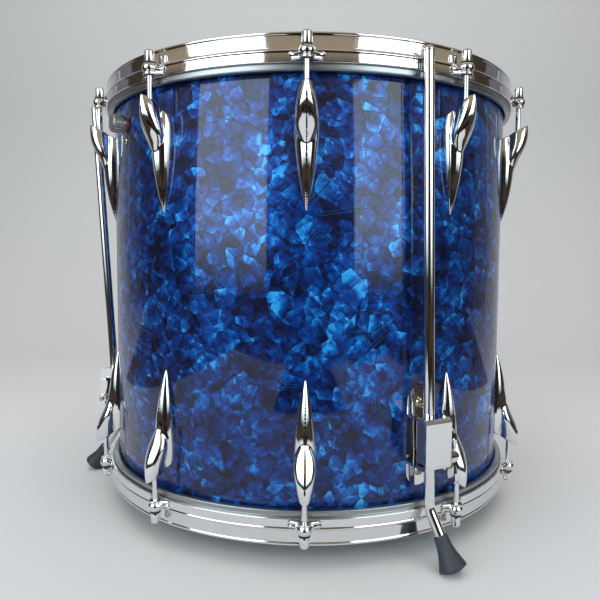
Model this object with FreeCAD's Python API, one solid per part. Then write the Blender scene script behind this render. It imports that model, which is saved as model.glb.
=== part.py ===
import FreeCAD, Part
import math
import os

V = FreeCAD.Vector

# ---------------------------------------------------------------------------
# Leg-standing drum, nominal 18 in x 16 in shell.  Millimetres, +Z up.
# Origin: on the floor, under the drum's own axis.  Front of the drum is -Y.
# A bearing "theta" is measured round the drum from the front, positive to the
# right (+X); the local frame at a bearing has X radial, Y tangential, Z up.
# Heights written "s" are measured from the drum's middle plane.
# ---------------------------------------------------------------------------

# drum body
MID_Z = 247.6               # middle plane above the floor
SHELL_R = 228.6             # outer radius of the wooden shell (18 in diameter)
SHELL_T = 7.0               # wall thickness
SHELL_HALF = 203.2          # half the shell length (16 in)
WRAP_T = 0.5                # plastic covering
WRAP_HALF = 196.5
WRAP_R = SHELL_R + WRAP_T   # 229.1
FILM_T = 0.3

# hoops and heads
ROD_R = 244.5               # radius of the tension-rod circle
N_RODS = 10
HOOP_OUT = 223.5            # outer edge
HOOP_IN = 197.5             # edge towards the middle
HOOP_STEP = 208.6           # crease between the two bands
HOOP_R_UP = 236.0
HOOP_R_LOW = 239.1
HOOP_R_BORE = 231.2
FLESH_R0, FLESH_R1 = 230.7, 236.1
FLESH_S0, FLESH_S1 = 191.7, 200.5

# tension rods
ROD_D = 5.0
HEAD_D = 8.9
HEAD_BASE = 210.7
HEAD_TOP = 221.7
ROD_END = 152.0
WASHER_T = 0.8
EAR_TOP = HEAD_BASE - WASHER_T
ROD_CLEAR = 0.08

# lugs
LUG_POINT = 75.0
LUG_BEAK = 179.5
NUT_R = 4.0
NUT_S0, NUT_S1 = 151.0, 162.0
LUG_SCREWS = (101.0, 138.0)

# legs: bearing, radius of the leg axis at the clamp, lean away from the drum at
# the top (deg), lean towards +theta at the top (deg), bend angle of the foot,
# swivel of the bend away from straight out (deg, towards +theta), top of the tube
LEGS = {
    "front": (27.1, 247.0, 0.0, -1.5, 29.0, 15.0, 211.2),
    "left": (-92.5, 249.3, 3.2, 0.0, 38.0, -14.0, 217.6),
    "rear": (153.0, 247.0, 0.8, 0.6, 29.0, 6.0, 212.0),
}
LEG_D = 10.1
LEG_BEND_S = {"front": -189.0, "left": -180.0, "rear": -187.0}
LEG_BEND_R = 22.0
CLAMP_S = -132.0            # middle of the clamp box
FOOT_L = 33.0
FOOT_DOME = 22.0
FOOT_CUT = 0.25
CAP_D = 11.2

# leg brackets
PLATE_W, PLATE_TOP, PLATE_BOT, PLATE_T = 27.0, -83.3, -177.6, 2.8
AXIS_R = 247.0
BOX_W, BOX_TOP, BOX_BOT, BOX_FRONT, BOX_T = 28.4, -109.0, -155.0, 261.0, 2.2
SCREW_S = (-99.3, -163.6)
STUD_S, STUD_X, STUD_D = -146.0, 255.9, 5.0
FIT = 0.05                  # running clearance on the radius

# damper
DAMP_TH = -54.0
DAMP_S = 168.4
DAMP_SCREW_S = 151.6
KNOB_D = 18.8
KNOB_OUT = 244.4
SHAFT_D = 6.0

os.makedirs("parts", exist_ok=True)


def export(name, shape):
    shape.exportStep("parts/%s.step" % name)


def place(shape, theta, dz=MID_Z):
    """Local frame (X radial, Y tangential, Z from the middle plane) to the drum."""
    s = shape.copy()
    s.rotate(V(0, 0, 0), V(0, 0, 1), theta - 90.0)
    s.translate(V(0, 0, dz))
    return s


def flip(shape):
    """Mirror across the middle plane, in the local frame."""
    return shape.mirror(V(0, 0, 0), V(0, 0, 1))


def turned(points):
    """Solid of revolution about Z from a closed (radius, height) outline."""
    pts = [V(r, 0, z) for r, z in points]
    wire = Part.makePolygon(pts + [pts[0]])
    return Part.Face(wire).revolve(V(0, 0, 0), V(0, 0, 1), 360.0)


def loft(sections, ruled=True):
    return Part.makeLoft([Part.makePolygon(s + [s[0]]) for s in sections], True, ruled)


def box(x0, x1, y0, y1, z0, z1):
    return Part.makeBox(x1 - x0, y1 - y0, z1 - z0, V(x0, y0, z0))


def rod_x(r, x0, x1, y=0.0, z=0.0):
    return Part.makeCylinder(r, x1 - x0, V(x0, y, z), V(1, 0, 0))


def rod_z(r, z0, z1, x=0.0, y=0.0):
    return Part.makeCylinder(r, z1 - z0, V(x, y, z0), V(0, 0, 1))


def compound(shapes):
    return Part.makeCompound(shapes)


# ---------------------------------------------------------------------------
# shell and covering, drilled for every fastener that goes through them
# ---------------------------------------------------------------------------
r_in = SHELL_R - SHELL_T
edge = SHELL_R - 3.0
shell = turned([
    (r_in, -SHELL_HALF + 3.6), (edge, -SHELL_HALF), (SHELL_R, -SHELL_HALF + 2.4),
    (SHELL_R, SHELL_HALF - 2.4), (edge, SHELL_HALF), (r_in, SHELL_HALF - 3.6)])
wrap = turned([
    (SHELL_R + 0.02, -WRAP_HALF), (WRAP_R, -WRAP_HALF),
    (WRAP_R, WRAP_HALF), (SHELL_R + 0.02, WRAP_HALF)])

drills = []
for k in range(N_RODS):
    th = 360.0 / N_RODS * k
    for sgn in (1, -1):
        for s in LUG_SCREWS:
            drills.append(place(rod_x(2.6, 215, 231, 0, sgn * s), th, 0))
for th, *_ in LEGS.values():
    for s in SCREW_S:
        drills.append(place(rod_x(2.7, 215, 231, 0, s), th, 0))
drills.append(place(rod_x(3.4, 215, 231, 0, DAMP_S), DAMP_TH, 0))
drills.append(place(rod_x(2.1, 215, 231, 0, DAMP_SCREW_S), DAMP_TH, 0))
drill = compound(drills)
shell = shell.cut(drill)
wrap = wrap.cut(drill)
shell.translate(V(0, 0, MID_Z))
wrap.translate(V(0, 0, MID_Z))
export("shell", shell)
export("wrap", wrap)

# ---------------------------------------------------------------------------
# heads: film stretched over the bearing edge, held by an aluminium flesh hoop
# ---------------------------------------------------------------------------
film_half = turned([
    (0, SHELL_HALF), (225.9, SHELL_HALF), (228.6, SHELL_HALF - 1.4), (229.9, SHELL_HALF - 3.2),
    (230.35, SHELL_HALF - 6.0), (230.35, FLESH_S0 + 1.0),
    (230.65, FLESH_S0 + 1.0), (230.65, SHELL_HALF - 5.8), (230.15, SHELL_HALF - 2.8),
    (228.9, SHELL_HALF - 1.1), (226.2, SHELL_HALF + FILM_T), (0, SHELL_HALF + FILM_T)])
flesh = turned([
    (FLESH_R0, FLESH_S0 + 0.6), (FLESH_R0 + 0.6, FLESH_S0), (FLESH_R1 - 1.2, FLESH_S0),
    (FLESH_R1 - 0.35, FLESH_S0 + 0.35), (FLESH_R1, FLESH_S0 + 1.2),
    (FLESH_R1, FLESH_S1), (FLESH_R0, FLESH_S1)])
for name, up in (("top", True), ("bottom", False)):
    for base, node in ((film_half, "head_film_"), (flesh, "flesh_hoop_")):
        sh = base if up else flip(base)
        export(node + name, place(sh, 90.0))

# ---------------------------------------------------------------------------
# counter hoops: a cast ring with ten ears, one for each rod
# ---------------------------------------------------------------------------
ring = turned([
    (HOOP_R_BORE, FLESH_S1), (HOOP_R_LOW - 2.7, FLESH_S1), (HOOP_R_LOW - 2.7, HOOP_IN),
    (HOOP_R_LOW - 0.5, HOOP_IN), (HOOP_R_LOW, HOOP_IN + 0.6),
    (HOOP_R_LOW, HOOP_STEP - 0.9), (HOOP_R_LOW - 0.5, HOOP_STEP - 0.2),
    (HOOP_R_UP + 0.6, HOOP_STEP), (HOOP_R_UP, HOOP_STEP + 0.7),
    (HOOP_R_UP, HOOP_OUT - 1.4), (HOOP_R_UP - 0.5, HOOP_OUT - 0.4), (HOOP_R_UP - 1.5, HOOP_OUT),
    (HOOP_R_BORE + 1.0, HOOP_OUT), (HOOP_R_BORE + 0.2, HOOP_OUT - 0.5), (HOOP_R_BORE, HOOP_OUT - 1.4)])


def ear_outline(z, wide, rad, reach):
    """Outline of the ear at one height: wide at the ring, round at the rod."""
    pts = [V(236.4, -wide, z), (V(238.6, -wide, z))]
    pts.append(V(240.6, -(rad + 0.34 * (wide - rad)), z))
    pts.append(V(242.8, -rad * 0.99, z))
    for a in (-50, -20, 20, 50):
        pts.append(V(ROD_R + reach * math.cos(math.radians(a)), rad * math.sin(math.radians(a)) / math.sin(math.radians(62)), z))
    pts.append(V(242.8, rad * 0.99, z))
    pts.append(V(240.6, rad + 0.34 * (wide - rad), z))
    pts += [V(238.6, wide, z), V(236.4, wide, z)]
    return pts


ear = loft([ear_outline(198.6, 13.6, 6.2, 5.6), ear_outline(201.6, 13.0, 6.4, 6.1),
            ear_outline(206.0, 8.6, 5.9, 5.8), ear_outline(EAR_TOP, 5.6, 5.3, 5.2)])
hoop = ring.copy()
ears = []
holes = []
for k in range(N_RODS):
    th = 360.0 / N_RODS * k
    ears.append(place(ear, th, 0))
    holes.append(place(rod_z(ROD_D / 2 + ROD_CLEAR, 190, 230, ROD_R), th, 0))
hoop = hoop.fuse(ears).cut(compound(holes))
export("hoop_top", place(hoop, 90.0))
export("hoop_bottom", place(flip(hoop), 90.0))

# ---------------------------------------------------------------------------
# tension rods, one node each: domed slotted head, collar, plain shank
# ---------------------------------------------------------------------------
dome = []
for i in range(7):
    a = math.radians(90.0 * i / 6)
    dome.append((HEAD_D / 2 * math.cos(a) ** 0.8 if i < 6 else 0.0, HEAD_TOP - 2.6 + 2.6 * math.sin(a)))
rod = turned([(0, ROD_END), (ROD_D / 2 - 0.6, ROD_END), (ROD_D / 2, ROD_END + 0.8),
              (ROD_D / 2, HEAD_BASE), (HEAD_D / 2 - 0.2, HEAD_BASE), (HEAD_D / 2, HEAD_BASE + 0.3)] + dome)
rod = rod.cut(box(-0.8, 0.8, -6, 6, HEAD_TOP - 2.0, HEAD_TOP + 1))
rod.translate(V(ROD_R, 0, 0))
washer = rod_z(5.3, EAR_TOP, HEAD_BASE, ROD_R).cut(rod_z(ROD_D / 2 + ROD_CLEAR, 200, 215, ROD_R))
washers = []
for k in range(N_RODS):
    th = 360.0 / N_RODS * k
    export("rod_top_%d" % k, place(rod, th))
    export("rod_bottom_%d" % k, place(flip(rod), th))
    washers += [place(washer, th), place(flip(washer), th)]
export("rod_washers", compound(washers))

# ---------------------------------------------------------------------------
# lugs: a long drop-shaped casting with a beak that takes the rod
# ---------------------------------------------------------------------------


def drop_section(s, w, h):
    pts = [(-3.0, -w), (0.45 * h, -0.93 * w), (0.82 * h, -0.55 * w), (h, 0.0),
           (0.82 * h, 0.55 * w), (0.45 * h, 0.93 * w), (-3.0, w)]
    return [V(WRAP_R + o, y, s) for o, y in pts]


def beak_section(s, hw, o0, o1):
    pts = []
    cx, rx = (o0 + o1) / 2.0, (o1 - o0) / 2.0
    for i in range(12):
        a = 2 * math.pi * (i + 0.5) / 12
        c, d = math.cos(a), math.sin(a)
        n = 0.85
        pts.append(V(WRAP_R + cx + rx * math.copysign(abs(c) ** n, c),
                     hw * math.copysign(abs(d) ** n, d), s))
    return pts


drop = loft([drop_section(*q) for q in (
    (75.0, 0.6, 0.8), (82.0, 2.2, 2.8), (92.0, 4.3, 5.8), (104.0, 6.8, 8.6), (118.0, 9.0, 10.8),
    (130.0, 10.4, 12.2), (140.0, 10.9, 13.0), (150.0, 10.8, 12.4), (158.0, 10.0, 10.6),
    (168.0, 8.4, 9.0), (178.0, 6.8, 8.4))])
beak = loft([beak_section(*q) for q in (
    (138.0, 7.0, 3.6, 14.4), (148.0, 10.0, 4.2, 19.4), (156.0, 10.0, 5.2, 23.0),
    (163.0, 9.1, 5.6, 25.2), (171.0, 7.6, 5.8, 26.0), (184.0, 4.0, 6.2, 25.6))])
scoop = loft([beak_section(*q) for q in (
    (164.0, 3.4, 11.0, 19.6), (171.0, 4.6, 8.4, 21.6), (184.0, 5.8, 4.0, 23.8))])
lug = drop.fuse(beak)
# the mouth is cut on a slope, from the outer tip down to the shell
slope = Part.Face(Part.makePolygon([V(WRAP_R - 8, -20, 161.0), V(WRAP_R + 34, -20, LUG_BEAK + 5.2), V(WRAP_R + 34, -20, 210.0),
                                    V(WRAP_R - 8, -20, 210.0), V(WRAP_R - 8, -20, 161.0)])).extrude(V(0, 40, 0))
lug = lug.cut(slope)
lug = lug.cut(scoop)
lug = lug.cut(rod_z(WRAP_R + 0.02, 60, 190))
# pocket for the swivel nut, open at the back, and the hole that the rod comes in by
lug = lug.cut(rod_z(NUT_R + 0.1, NUT_S0 - 0.1, NUT_S1, ROD_R))
lug = lug.cut(box(225, ROD_R, -NUT_R - 0.1, NUT_R + 0.1, NUT_S0 - 0.1, NUT_S1))
lug = lug.cut(rod_z(ROD_D / 2 + 0.3, NUT_S1 - 1, 190, ROD_R))
# tapped holes for the two screws from inside the shell
for s in LUG_SCREWS:
    lug = lug.cut(rod_x(2.45, 225, 234.6, 0, s))
nut = rod_z(NUT_R, NUT_S0, NUT_S1, ROD_R).cut(rod_z(ROD_D / 2 + FIT, 140, 170, ROD_R))
nut = nut.cut(box(ROD_R - 5, ROD_R - 3.2, -5, 5, NUT_S0, NUT_S1))
lug_screw = rod_x(2.4, 221.0, 234.4).fuse(rod_x(4.6, r_in - 3.2, r_in - 0.02)).cut(
    box(r_in - 4, r_in - 2.0, -0.6, 0.6, -6, 6))
# head is dished to sit on the curved wall
lug_screw = lug_screw.cut(rod_z(400, -20, 20).cut(rod_z(r_in - 0.02, -21, 21)).common(
    box(210, 221.99, -10, 10, -10, 10)).cut(rod_x(2.4, 205, 225)))
top, bottom, nuts, screws = [], [], [], []
for k in range(N_RODS):
    th = 360.0 / N_RODS * k
    top.append(place(lug, th))
    bottom.append(place(flip(lug), th))
    nuts += [place(nut, th), place(flip(nut), th)]
    for s in LUG_SCREWS:
        for sgn in (1, -1):
            one = lug_screw.copy()
            one.translate(V(0, 0, sgn * s))
            screws.append(place(one, th))
export("lugs_top", compound(top))
export("lugs_bottom", compound(bottom))
export("lug_nuts", compound(nuts))
export("lug_screws", compound(screws))

# ---------------------------------------------------------------------------
# legs, feet, caps, brackets, clamp jaws and wing nuts
# ---------------------------------------------------------------------------
bracket_screws, bracket_nuts = [], []
for name, (th, r_axis, lean_r, lean_t, bend, swivel, leg_top) in LEGS.items():
    # leg axis in the local frame: a point at the clamp and the upward direction
    up = V(math.tan(math.radians(lean_r)), math.tan(math.radians(lean_t)), 1.0)
    up.normalize()
    at = V(r_axis, 0, CLAMP_S)

    def on_axis(s):
        return at + up * ((s - CLAMP_S) / up.z)

    p_top = on_axis(leg_top)
    p_bend = on_axis(LEG_BEND_S[name])
    down = up * -1.0
    # outward direction square to the leg, and the bend's centre
    out = V(1, 0, 0) - up * up.x
    out.normalize()
    side = up.cross(out)
    w = math.radians(swivel)
    out = out * math.cos(w) + side * math.sin(w)
    centre = p_bend + out * LEG_BEND_R
    axis = down.cross(out)
    length = (p_bend - p_top).Length
    upper = Part.makeCylinder(LEG_D / 2, length, p_bend, up)
    disc = Part.Face(Part.Wire(Part.makeCircle(LEG_D / 2, p_bend, down)))
    elbow = disc.revolve(centre, axis, bend)
    a = math.radians(bend)
    low_dir = down * math.cos(a) + out * math.sin(a)
    p_low = centre - out * (LEG_BEND_R * math.cos(a)) + down * (LEG_BEND_R * math.sin(a))
    # the centre of the domed sole is where the lower run reaches this height
    z_c = -MID_Z + FOOT_DOME - FOOT_CUT
    sole = p_low + low_dir * ((z_c - p_low.z) / low_dir.z)
    foot_top = sole - low_dir * (FOOT_L - FOOT_DOME)
    leg_end = foot_top + low_dir * 24.0
    lower = Part.makeCylinder(LEG_D / 2, (leg_end - p_low).Length, p_low, low_dir)
    leg = upper.fuse([elbow, lower]).removeSplitter()
    export("leg_" + name, place(leg, th))

    # rubber foot: flared, domed sole with a small flat where it stands
    prof = [(0, 0), (6.1, 0), (6.5, 0.5), (6.7, 4), (7.4, 10), (8.7, 16), (10.6, 22), (12.3, 27), (12.75, 28.6)]
    for i in range(6, -1, -1):
        b = math.radians(35.6 * i / 6)
        prof.append((FOOT_DOME * math.sin(b) if i else 0.0, FOOT_L - FOOT_DOME + FOOT_DOME * math.cos(b)))
    foot = turned(prof)
    foot = foot.cut(rod_z(LEG_D / 2 + 0.02, -1, 24.05))
    rot = FreeCAD.Rotation(V(0, 0, 1), low_dir)
    foot.Placement = FreeCAD.Placement(foot_top, rot)
    foot = foot.cut(box(150, 350, -80, 80, -MID_Z - 20, -MID_Z))
    export("foot_" + name, place(foot, th))

    cap = turned([(0, 0), (CAP_D / 2, 0), (CAP_D / 2, 1.2), (CAP_D / 2 - 0.5, 1.7), (CAP_D / 2 - 0.6, 2.6),
                  (CAP_D / 2 - 1.5, 3.8), (CAP_D / 2 - 3.2, 4.7), (0, 5.1)])
    cap.Placement = FreeCAD.Placement(p_top, FreeCAD.Rotation(V(0, 0, 1), up))
    export("cap_" + name, place(cap, th))

    # bracket: lobed plate that follows the shell, with a hat-shaped strap;
    # the strap and clamp stand as far out as the leg they hold
    push = r_axis - AXIS_R
    front, stud_x = BOX_FRONT + push, STUD_X + push
    n = 16
    hw = PLATE_W / 2
    outline = []
    for i in range(n + 1):
        b = math.pi * i / n
        outline.append(V(220, hw * math.cos(b), PLATE_TOP - hw * 1.08 + hw * 1.08 * math.sin(b)))
    for i in range(n + 1):
        b = math.pi + math.pi * i / n
        outline.append(V(220, hw * math.cos(b), PLATE_BOT + hw * 1.08 + hw * 1.08 * math.sin(b)))
    slab = Part.Face(Part.makePolygon(outline + [outline[0]])).extrude(V(25, 0, 0))
    curve = rod_z(WRAP_R + 0.02 + PLATE_T, -200, -60).cut(rod_z(WRAP_R + 0.02, -201, -59))
    plate = slab.common(curve)
    x_in = WRAP_R + 1.6
    strap = [(x_in, BOX_TOP), (front - 3.6, BOX_TOP), (front - 1.1, BOX_TOP - 1.1), (front, BOX_TOP - 3.6),
             (front, BOX_BOT + 3.6), (front - 1.1, BOX_BOT + 1.1), (front - 3.6, BOX_BOT), (x_in, BOX_BOT),
             (x_in, BOX_BOT + BOX_T), (front - 3.8, BOX_BOT + BOX_T), (front - BOX_T, BOX_BOT + 3.8),
             (front - BOX_T, BOX_TOP - 3.8), (front - 3.8, BOX_TOP - BOX_T), (x_in, BOX_TOP - BOX_T)]
    pts = [V(x, -BOX_W / 2, z) for x, z in strap]
    strap = Part.Face(Part.makePolygon(pts + [pts[0]])).extrude(V(0, BOX_W, 0))
    seat = box(240.5 + push, front - BOX_T + 0.2, 3.4, BOX_W / 2, BOX_BOT + BOX_T - 0.2, BOX_TOP - BOX_T + 0.2)
    bracket = plate.fuse([strap, seat])
    bore = Part.makeCylinder(LEG_D / 2 + FIT, 200, on_axis(CLAMP_S - 100), up)
    bracket = bracket.cut(bore)
    bracket = bracket.cut(Part.makeCylinder(STUD_D / 2 + FIT, 40, V(stud_x, 0, STUD_S), V(0, 1, 0)))
    for s in SCREW_S:
        bracket = bracket.cut(rod_x(2.7, 225, 236, 0, s))
    bracket = bracket.cut(rod_z(WRAP_R + 0.02, -200, -60))
    bracket = bracket.removeSplitter()
    export("bracket_" + name, place(bracket, th))

    # clamp jaw: grooved block drawn against the leg by its own stud
    jaw = box(241.0 + push, 258.3 + push, -10.2, -1.2, BOX_BOT + BOX_T + 1.4, BOX_TOP - BOX_T - 2.4)
    jaw = jaw.cut(Part.makeCylinder(LEG_D / 2 + FIT, 200, on_axis(CLAMP_S - 100), up))
    z0, z1 = BOX_BOT + BOX_T + 2.4, BOX_TOP - BOX_T - 3.4
    teeth = []
    z = z0
    while z + 1.3 < z1:
        tri = Part.Face(Part.makePolygon([V(259 + push, -9.2, z), V(259 + push, -10.8, z - 0.1), V(259 + push, -10.8, z + 1.3), V(259 + push, -9.2, z)]))
        teeth.append(tri.extrude(V(-18.5, 0, 0)))
        z += 2.1
    jaw = jaw.cut(compound(teeth))
    stud = Part.makeCylinder(STUD_D / 2, 32.6, V(stud_x, -6.0, STUD_S), V(0, 1, 0))
    jaw = jaw.fuse(stud).removeSplitter()
    export("jaw_" + name, place(jaw, th))

    # wing nut: hub and two blades
    y0 = BOX_W / 2 + 0.1
    hub = Part.makeCone(6.4, 5.0, 9.0, V(stud_x, y0, STUD_S), V(0, 1, 0))
    blade = [(3.0, -2.0), (9.0, -4.6), (16.0, -6.0), (22.0, -5.2), (24.8, -2.0), (24.6, 1.8), (21.5, 4.4), (15.0, 4.2), (8.0, 3.0), (3.0, 2.6)]
    wings = []
    for turn in (0.0, 180.0):
        p = [V(stud_x + q, y0 + 4.0, STUD_S - r) for r, q in blade]
        w = Part.Face(Part.makePolygon(p + [p[0]])).extrude(V(0, 2.6, 0))
        w.rotate(V(stud_x, 0, STUD_S), V(0, 1, 0), turn)
        wings.append(w)
    wing = hub.fuse(wings)
    wing = wing.cut(Part.makeCylinder(STUD_D / 2 + FIT, 40, V(stud_x, 0, STUD_S), V(0, 1, 0)))
    wing.rotate(V(stud_x, 0, STUD_S), V(0, 1, 0), -5.0)
    wing = wing.removeSplitter()
    export("wing_" + name, place(wing, th))

    # plate screws with cross recess, and their nuts inside the shell
    for s in SCREW_S:
        xh = WRAP_R + 0.02 + PLATE_T
        head = turned([(0, 0), (4.7, 0), (4.7, 0.9), (4.0, 2.1), (2.6, 2.8), (0, 3.0)])
        head.rotate(V(0, 0, 0), V(0, 1, 0), 90)
        head.translate(V(xh, 0, 0))
        cross = box(xh + 1.4, xh + 4, -0.55, 0.55, -2.6, 2.6).fuse(box(xh + 1.4, xh + 4, -2.6, 2.6, -0.55, 0.55))
        scr = head.cut(cross).fuse(rod_x(2.5, 214.5, xh + 0.2))
        scr.translate(V(0, 0, s))
        bracket_screws.append(place(scr.removeSplitter(), th))
        hexa = Part.Face(Part.makePolygon([V(r_in - 5.0, 4.62 * math.cos(math.pi / 3 * i), 4.62 * math.sin(math.pi / 3 * i)) for i in range(7)])).extrude(V(4.0, 0, 0))
        wash = rod_x(6.0, r_in - 1.0, r_in + 1.0).common(rod_z(r_in - 0.02, -10, 10))
        one = hexa.fuse(wash).cut(rod_x(2.5 + 0.02, 210, 225))
        one.translate(V(0, 0, s))
        bracket_nuts.append(place(one.removeSplitter(), th))
export("bracket_screws", compound(bracket_screws))
export("bracket_nuts", compound(bracket_nuts))

# ---------------------------------------------------------------------------
# damper: outside knob on a shaft that swings a felt pad up to the upper head
# ---------------------------------------------------------------------------
x0 = WRAP_R + 0.02 + 1.9
knob = rod_x(KNOB_D / 2 - 1.4, x0, x0 + 2.2).fuse(rod_x(KNOB_D / 2, x0 + 2.2, KNOB_OUT - 1.0))
knob = knob.fuse(Part.makeCone(KNOB_D / 2, KNOB_D / 2 - 1.6, 1.0, V(KNOB_OUT - 1.0, 0, 0), V(1, 0, 0)))
flutes = []
for i in range(18):
    b = 2 * math.pi * i / 18
    flutes.append(rod_x(0.9, x0 + 3.4, KNOB_OUT + 1, (KNOB_D / 2 + 0.3) * math.cos(b), (KNOB_D / 2 + 0.3) * math.sin(b)))
knob = knob.cut(compound(flutes))
knob = knob.fuse(rod_x(SHAFT_D / 2, 193.0, x0 + 1.0)).removeSplitter()
knob.translate(V(0, 0, DAMP_S))
export("damper_knob", place(knob, DAMP_TH))

# arm: flat bar on the shaft's inner end, turned up under the felt
arm = box(195.0, 197.4, -9.0, 78.0, -6.0, 6.0).fuse(rod_x(8.5, 195.0, 202.0))
arm = arm.fuse(box(195.0, 197.4, 60.0, 78.0, 0.0, 10.2)).fuse(box(180.0, 197.4, 60.0, 78.0, 8.4, 10.2))
arm = arm.cut(rod_x(SHAFT_D / 2 + 0.02, 190.0, 210.0))
arm = arm.removeSplitter()
arm.translate(V(0, 0, DAMP_S))
export("damper_arm", place(arm, DAMP_TH))
felt = rod_z(17.0, 10.22, 22.4, 189.0, 69.0)
felt.translate(V(0, 0, DAMP_S))
export("damper_felt", place(felt, DAMP_TH))

tube = rod_z(r_in - 0.02, 130, 190).cut(rod_z(r_in - 2.2, 129, 191))
base = tube.common(box(200, 225, -15, 15, 143.0, 182.0)).fuse(rod_x(7.5, r_in - 14.0, r_in - 1.5, 0, DAMP_S))
base = base.cut(rod_x(SHAFT_D / 2 + FIT, 200, 230, 0, DAMP_S)).cut(rod_x(1.8, 200, 230, 0, DAMP_SCREW_S)).removeSplitter()
export("damper_base", place(base, DAMP_TH))

fibre = rod_x(7.2, 225.0, x0 - 0.03).cut(rod_x(SHAFT_D / 2 + 0.2, 220, 235)).cut(rod_z(WRAP_R + 0.02, -20, 20))
fibre.translate(V(0, 0, DAMP_S))
export("damper_washer", place(fibre, DAMP_TH))

head = turned([(0, 0), (3.8, 0), (3.8, 0.6), (3.0, 1.6), (1.6, 2.2), (0, 2.4)])
head.rotate(V(0, 0, 0), V(0, 1, 0), 90)
head.translate(V(WRAP_R + 0.04, 0, 0))
screw = head.cut(box(WRAP_R + 1.4, WRAP_R + 4, -0.5, 0.5, -4, 4)).fuse(rod_x(1.75, 216.0, WRAP_R + 0.3))
screw.translate(V(0, 0, DAMP_SCREW_S))
export("damper_screw", place(screw.removeSplitter(), DAMP_TH))
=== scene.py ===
import bpy, bmesh, math
from mathutils import Vector, Matrix, Euler


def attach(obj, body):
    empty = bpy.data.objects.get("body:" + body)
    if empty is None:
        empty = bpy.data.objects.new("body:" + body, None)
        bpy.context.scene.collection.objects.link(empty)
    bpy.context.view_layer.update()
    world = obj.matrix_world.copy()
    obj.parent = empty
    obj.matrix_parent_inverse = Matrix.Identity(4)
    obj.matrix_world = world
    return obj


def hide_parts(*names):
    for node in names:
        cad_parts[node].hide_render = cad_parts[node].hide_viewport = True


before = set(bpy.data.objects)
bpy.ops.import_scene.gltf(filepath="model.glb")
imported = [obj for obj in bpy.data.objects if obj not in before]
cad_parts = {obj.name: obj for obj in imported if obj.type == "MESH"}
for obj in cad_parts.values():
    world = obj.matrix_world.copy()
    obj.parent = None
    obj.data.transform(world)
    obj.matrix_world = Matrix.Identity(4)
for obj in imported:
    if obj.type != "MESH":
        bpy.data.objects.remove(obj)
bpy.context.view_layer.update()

MM = 0.001
MID = 247.6
WRAP_R = 229.1
ROD_R = 244.5

scene = bpy.context.scene


def er(th):
    a = math.radians(th)
    return Vector((math.sin(a), -math.cos(a), 0.0))


def et(th):
    a = math.radians(th)
    return Vector((math.cos(a), math.sin(a), 0.0))


def local(th, x, y, s):
    """Point in metres from a bearing: radial, tangential and height from the middle plane, in mm."""
    return (er(th) * x + et(th) * y + Vector((0, 0, MID + s))) * MM


# ---------------------------------------------------------------- materials
def clear(mat):
    mat.use_nodes = True
    nt = mat.node_tree
    nt.nodes.clear()
    out = nt.nodes.new("ShaderNodeOutputMaterial")
    bsdf = nt.nodes.new("ShaderNodeBsdfPrincipled")
    nt.links.new(bsdf.outputs[0], out.inputs[0])
    return nt, bsdf


def node(nt, kind, **kw):
    n = nt.nodes.new(kind)
    for k, v in kw.items():
        if k.startswith("i_"):
            n.inputs[k[2:].replace("_", " ")].default_value = v
        else:
            setattr(n, k, v)
    return n


def ramp(nt, src, stops, interp="LINEAR"):
    r = nt.nodes.new("ShaderNodeValToRGB")
    r.color_ramp.interpolation = interp
    while len(r.color_ramp.elements) > 1:
        r.color_ramp.elements.remove(r.color_ramp.elements[-1])
    first = True
    for pos, col in stops:
        if not isinstance(col, (tuple, list)):
            col = (col, col, col)
        e = r.color_ramp.elements[0] if first else r.color_ramp.elements.new(pos)
        e.position = pos
        e.color = (col[0], col[1], col[2], 1)
        first = False
    nt.links.new(src, r.inputs[0])
    return r


def math_node(nt, op, a, b=None, clamp=False):
    n = nt.nodes.new("ShaderNodeMath")
    n.operation = op
    n.use_clamp = clamp
    for i, v in enumerate((a, b)):
        if v is None:
            continue
        if isinstance(v, (int, float)):
            n.inputs[i].default_value = v
        else:
            nt.links.new(v, n.inputs[i])
    return n.outputs[0]


def mix(nt, fac, a, b, mode="MIX"):
    n = nt.nodes.new("ShaderNodeMix")
    n.data_type = "RGBA"
    n.blend_type = mode
    if isinstance(fac, (int, float)):
        n.inputs[0].default_value = fac
    else:
        nt.links.new(fac, n.inputs[0])
    for i, v in ((6, a), (7, b)):
        if isinstance(v, tuple):
            n.inputs[i].default_value = (v[0], v[1], v[2], 1)
        else:
            nt.links.new(v, n.inputs[i])
    return n.outputs[2]


def coords(nt, scale=(1, 1, 1)):
    tc = nt.nodes.new("ShaderNodeTexCoord")
    mp = nt.nodes.new("ShaderNodeMapping")
    mp.inputs["Scale"].default_value = scale
    nt.links.new(tc.outputs["Object"], mp.inputs[0])
    return mp.outputs[0]


def noise(nt, vec, scale, detail=3.0, rough=0.5, distort=0.0):
    n = nt.nodes.new("ShaderNodeTexNoise")
    n.inputs["Scale"].default_value = scale
    n.inputs["Detail"].default_value = detail
    n.inputs["Roughness"].default_value = rough
    n.inputs["Distortion"].default_value = distort
    nt.links.new(vec, n.inputs["Vector"])
    return n


def voronoi(nt, vec, scale, feature="F1", rnd=1.0):
    n = nt.nodes.new("ShaderNodeTexVoronoi")
    n.feature = feature
    n.inputs["Scale"].default_value = scale
    n.inputs["Randomness"].default_value = rnd
    nt.links.new(vec, n.inputs["Vector"])
    return n


def bump(nt, height, strength, distance):
    b = nt.nodes.new("ShaderNodeBump")
    b.inputs["Strength"].default_value = strength
    b.inputs["Distance"].default_value = distance
    nt.links.new(height, b.inputs["Height"])
    return b.outputs[0]


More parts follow.
